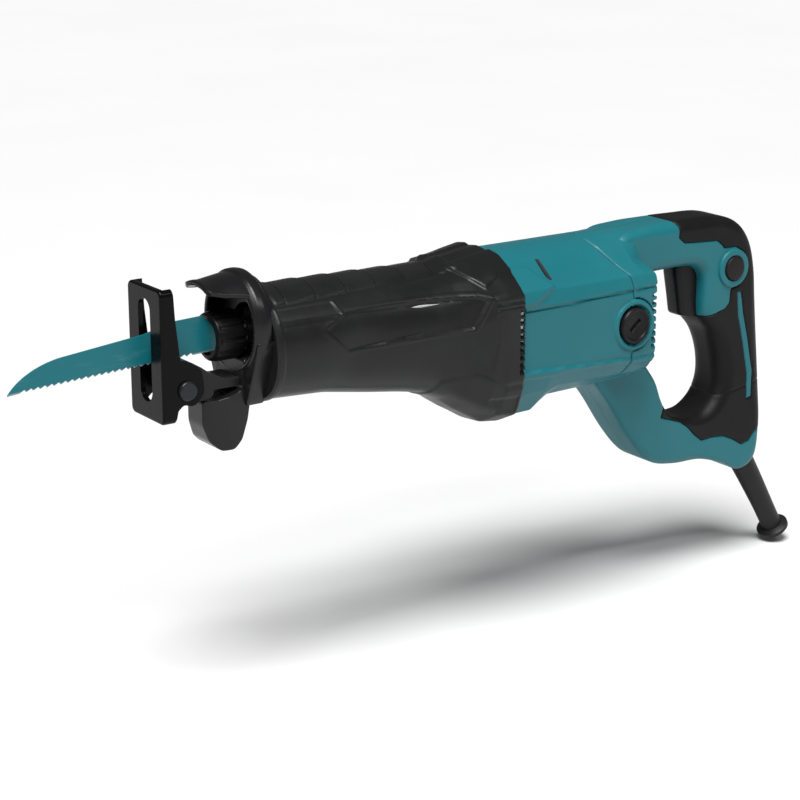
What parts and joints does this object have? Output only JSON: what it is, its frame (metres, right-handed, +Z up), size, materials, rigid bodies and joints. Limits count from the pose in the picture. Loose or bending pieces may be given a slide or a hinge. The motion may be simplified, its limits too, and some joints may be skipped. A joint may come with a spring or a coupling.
{
  "type": "reciprocating saw",
  "caption": "Corded reciprocating saw: slotted tilting shoe, keyless blade clamp, rubber-covered gear nose, faceted motor housing and a D-shaped rear handle with trigger.",
  "frame": {"origin": "where the blade's line of travel crosses the back face of the shoe's slotted front plate", "axes": "+X from the shoe back to the handle along the plunger, +Z up, +Y to the tool's right"},
  "size_m": [0.5895, 0.096, 0.2503],
  "materials": {
    "cover_rubber": "satin black moulded rubber",
    "nose_black": "black moulded, light texture",
    "housing_teal": "satin teal moulding with a fine spark texture",
    "grip_rubber": "matt black overmoulded rubber",
    "cord_rubber": "black rubber",
    "shoe_black": "gloss black painted steel",
    "bar_steel": "bright ground steel",
    "pin_steel": "blackened steel rivet",
    "blade_paint": "teal painted blade with bare ground teeth",
    "clamp_black": "black oxide",
    "rod_steel": "ground rod",
    "gear_steel": "cut and oiled steel",
    "bearing_steel": "polished",
    "bush_bronze": "sintered bronze",
    "brass_parts": "drawn brass",
    "copper_parts": "copper",
    "core_iron": "stacked laminations",
    "casting_alloy": "as cast",
    "plate_alloy": "machined",
    "inner_plastic": "black moulding",
    "carbon": "pressed carbon",
    "cap_black": "satin black",
    "trigger_black": "satin black",
    "button_black": "satin black",
    "screw_steel": "zinc plated"
  },
  "bodies": {
    "housing": {"front_cover": "cover_rubber", "nose_guard": "nose_black", "motor_housing": "housing_teal", "handle_left": "housing_teal", "handle_right": "housing_teal", "grip_overmold": "grip_rubber", "cord_guard": "cord_rubber", "crank_bearings": "bearing_steel", "motor_bearings": "bearing_steel", "plunger_bushings": "bush_bronze", "brush_holders": "brass_parts", "field_coils": "copper_parts", "field_core": "core_iron", "gear_housing": "casting_alloy", "bearing_plate": "plate_alloy", "fan_baffle": "inner_plastic", "switch_module": "inner_plastic", "cord_clamp": "inner_plastic", "carbon_brushes": "carbon", "brush_cap_left": "cap_black", "brush_cap_right": "cap_black", "shoe_clamp_screw": "screw_steel", "plate_screws": "screw_steel", "handle_screws": "screw_steel", "cord_clamp_screws": "screw_steel"},
    "shoe_slide": {"shoe_bar": "bar_steel"},
    "shoe": {"shoe_plate": "shoe_black", "shoe_pivot_pin": "pin_steel"},
    "plunger": {"plunger_rod": "rod_steel", "blade_lock_pin": "rod_steel", "collar_retaining_ring": "rod_steel", "saw_blade": "blade_paint"},
    "clamp_collar": {"blade_clamp_collar": "clamp_black"},
    "crank": {"crank_gear": "gear_steel", "crank_shaft": "gear_steel", "crank_pin": "gear_steel"},
    "armature": {"armature_shaft": "gear_steel", "armature_core": "core_iron", "commutator": "copper_parts", "cooling_fan": "inner_plastic", "motor_pinion": "gear_steel"},
    "trigger": {"trigger": "trigger_black"},
    "lock_button": {"lock_button": "button_black"}
  },
  "joints": [
    {"name": "shoe_extend", "type": "slide", "parent": "housing", "child": "shoe_slide", "axis": [-1, 0, 0], "range_m": [0, 0.03]},
    {"name": "shoe_pivot", "type": "hinge", "parent": "shoe_slide", "child": "shoe", "pos_m": [0.0123, 0, -0.023], "axis": [0, 1, 0], "range_deg": [-30, 8]},
    {"name": "plunger_stroke", "type": "slide", "parent": "housing", "child": "plunger", "axis": [1, 0, 0], "range_m": [-0.008, 0.02]},
    {"name": "clamp_collar_twist", "type": "hinge", "parent": "plunger", "child": "clamp_collar", "pos_m": [0.047, 0, 0], "axis": [1, 0, 0], "range_deg": [0, 60], "stiffness_Nm_per_rad": 0.05},
    {"name": "armature_spin", "type": "hinge", "parent": "housing", "child": "armature", "pos_m": [0.264, 0, -0.025], "axis": [1, 0, 0], "continuous": true},
    {"name": "crank_spin", "type": "hinge", "parent": "housing", "child": "crank", "pos_m": [0.196, 0, -0.02], "axis": [0, 0, 1], "continuous": true},
    {"name": "trigger_pull", "type": "slide", "parent": "housing", "child": "trigger", "axis": [1, 0, 0], "range_m": [0, 0.007], "stiffness_N_per_m": 800},
    {"name": "lock_button_press", "type": "slide", "parent": "housing", "child": "lock_button", "axis": [0, 1, 0], "range_m": [0, 0.0025], "stiffness_N_per_m": 500}
  ],
  "couplings": [
    {"joint": "crank_spin", "follows": "armature_spin", "ratio": -0.21951}
  ]
}
